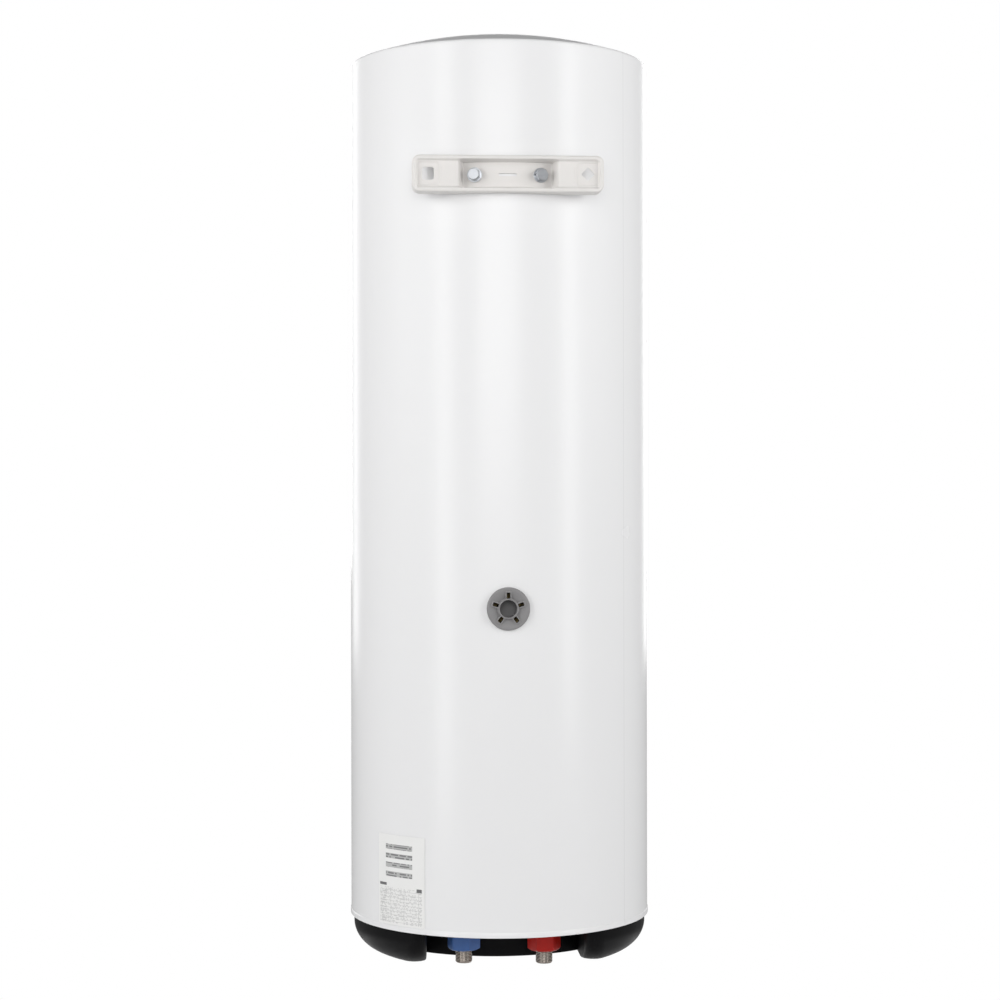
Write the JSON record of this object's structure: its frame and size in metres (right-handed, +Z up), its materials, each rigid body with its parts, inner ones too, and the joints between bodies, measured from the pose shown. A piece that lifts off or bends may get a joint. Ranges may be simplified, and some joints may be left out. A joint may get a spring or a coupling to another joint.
{
  "type": "tank water heater",
  "caption": "Slim wall-hung electric storage water heater with wall bracket, foam plug, black bottom cover and two G1/2 connections at the rear.",
  "frame": {"origin": "middle of the wall bracket's upper rim, on the flat face that bears on the wall, on the heater's centre plane", "axes": "+Z up, +Y out of the back towards the wall, -Y out of the front; cold connection on the +X side, hot on the -X side"},
  "size_m": [0.3816, 0.3948, 1.1639],
  "materials": {
    "casing_enamel": "gloss white powder enamel",
    "lid_enamel": "satin white enamel",
    "bracket_enamel": "satin warm light grey enamel",
    "cover_plastic": "fine grained black moulding",
    "knob_plastic": "satin black moulding",
    "port_plastic": "mid grey moulding",
    "cold_plastic": "satin blue moulding",
    "hot_plastic": "satin red moulding",
    "white_plastic": "white technical moulding",
    "label_paper": "printed white label stock",
    "zinc_steel": "bright zinc plated",
    "pipe_steel": "turned stainless steel, slightly heat tinted",
    "tank_steel": "pickled and welded sheet",
    "insulation": "rigid polyurethane foam",
    "rubber_black": "moulded rubber",
    "copper_tube": "drawn copper",
    "brass_metal": "turned brass",
    "anode_metal": "cast magnesium, dull",
    "lens_red": "clear red lens",
    "lamp_glass": "small neon tube",
    "lead_brown": "brown insulation",
    "lead_blue": "blue insulation",
    "lead_green": "green and yellow insulation"
  },
  "bodies": {
    "heater": {"outer_casing": "casing_enamel", "top_cover": "lid_enamel", "wall_bracket": "bracket_enamel", "bottom_cover": "cover_plastic", "foam_port_plug": "port_plastic", "rating_label": "label_paper", "cold_collar": "cold_plastic", "hot_collar": "hot_plastic", "cold_inlet_nipple": "pipe_steel", "hot_outlet_nipple": "pipe_steel", "hot_riser_pipe": "pipe_steel", "inlet_deflector": "white_plastic", "base_plate": "zinc_steel", "insulation_foam": "insulation", "tank_shell": "tank_steel", "tank_top_end": "tank_steel", "tank_bottom_end": "tank_steel", "flange_seat": "tank_steel", "flange_gasket": "rubber_black", "heater_flange": "zinc_steel", "heating_element": "copper_tube", "element_terminal_1": "brass_metal", "element_terminal_2": "brass_metal", "thermostat_pocket": "copper_tube", "thermostat_rod": "copper_tube", "thermostat_body": "white_plastic", "thermal_cutout": "knob_plastic", "anode_rod": "anode_metal", "anode_nut": "zinc_steel", "earth_screw": "brass_metal", "terminal_block": "white_plastic", "lead_live": "lead_brown", "lead_switched": "lead_brown", "lead_neutral": "lead_blue", "earth_lead": "lead_green", "pilot_lens": "lens_red", "pilot_lamp": "lamp_glass", "cable_grommet": "rubber_black", "hanger_boss_cold_side": "tank_steel", "bracket_bolt_cold_side": "zinc_steel", "bracket_flat_washer_cold_side": "zinc_steel", "bracket_spring_washer_cold_side": "zinc_steel", "hanger_boss_hot_side": "tank_steel", "bracket_bolt_hot_side": "zinc_steel", "bracket_flat_washer_hot_side": "zinc_steel", "bracket_spring_washer_hot_side": "zinc_steel", "flange_bolt_1": "zinc_steel", "flange_bolt_2": "zinc_steel", "flange_bolt_3": "zinc_steel", "flange_bolt_4": "zinc_steel", "flange_bolt_5": "zinc_steel", "cover_screw_1": "zinc_steel", "cover_screw_2": "zinc_steel", "cover_screw_3": "zinc_steel", "cover_screw_4": "zinc_steel"},
    "knob": {"temperature_knob": "knob_plastic", "thermostat_spindle": "brass_metal"},
    "reset_button": {"reset_button": "hot_plastic"}
  },
  "joints": [
    {"name": "temperature_knob_turn", "type": "hinge", "parent": "heater", "child": "knob", "pos_m": [0, -0.256, -0.97275], "axis": [0, 0, -1], "range_deg": [0, 270]},
    {"name": "reset_button_press", "type": "slide", "parent": "heater", "child": "reset_button", "axis": [0, 0, 1], "range_m": [0, 0.0025], "stiffness_N_per_m": 400, "springref_m": -0.001}
  ]
}
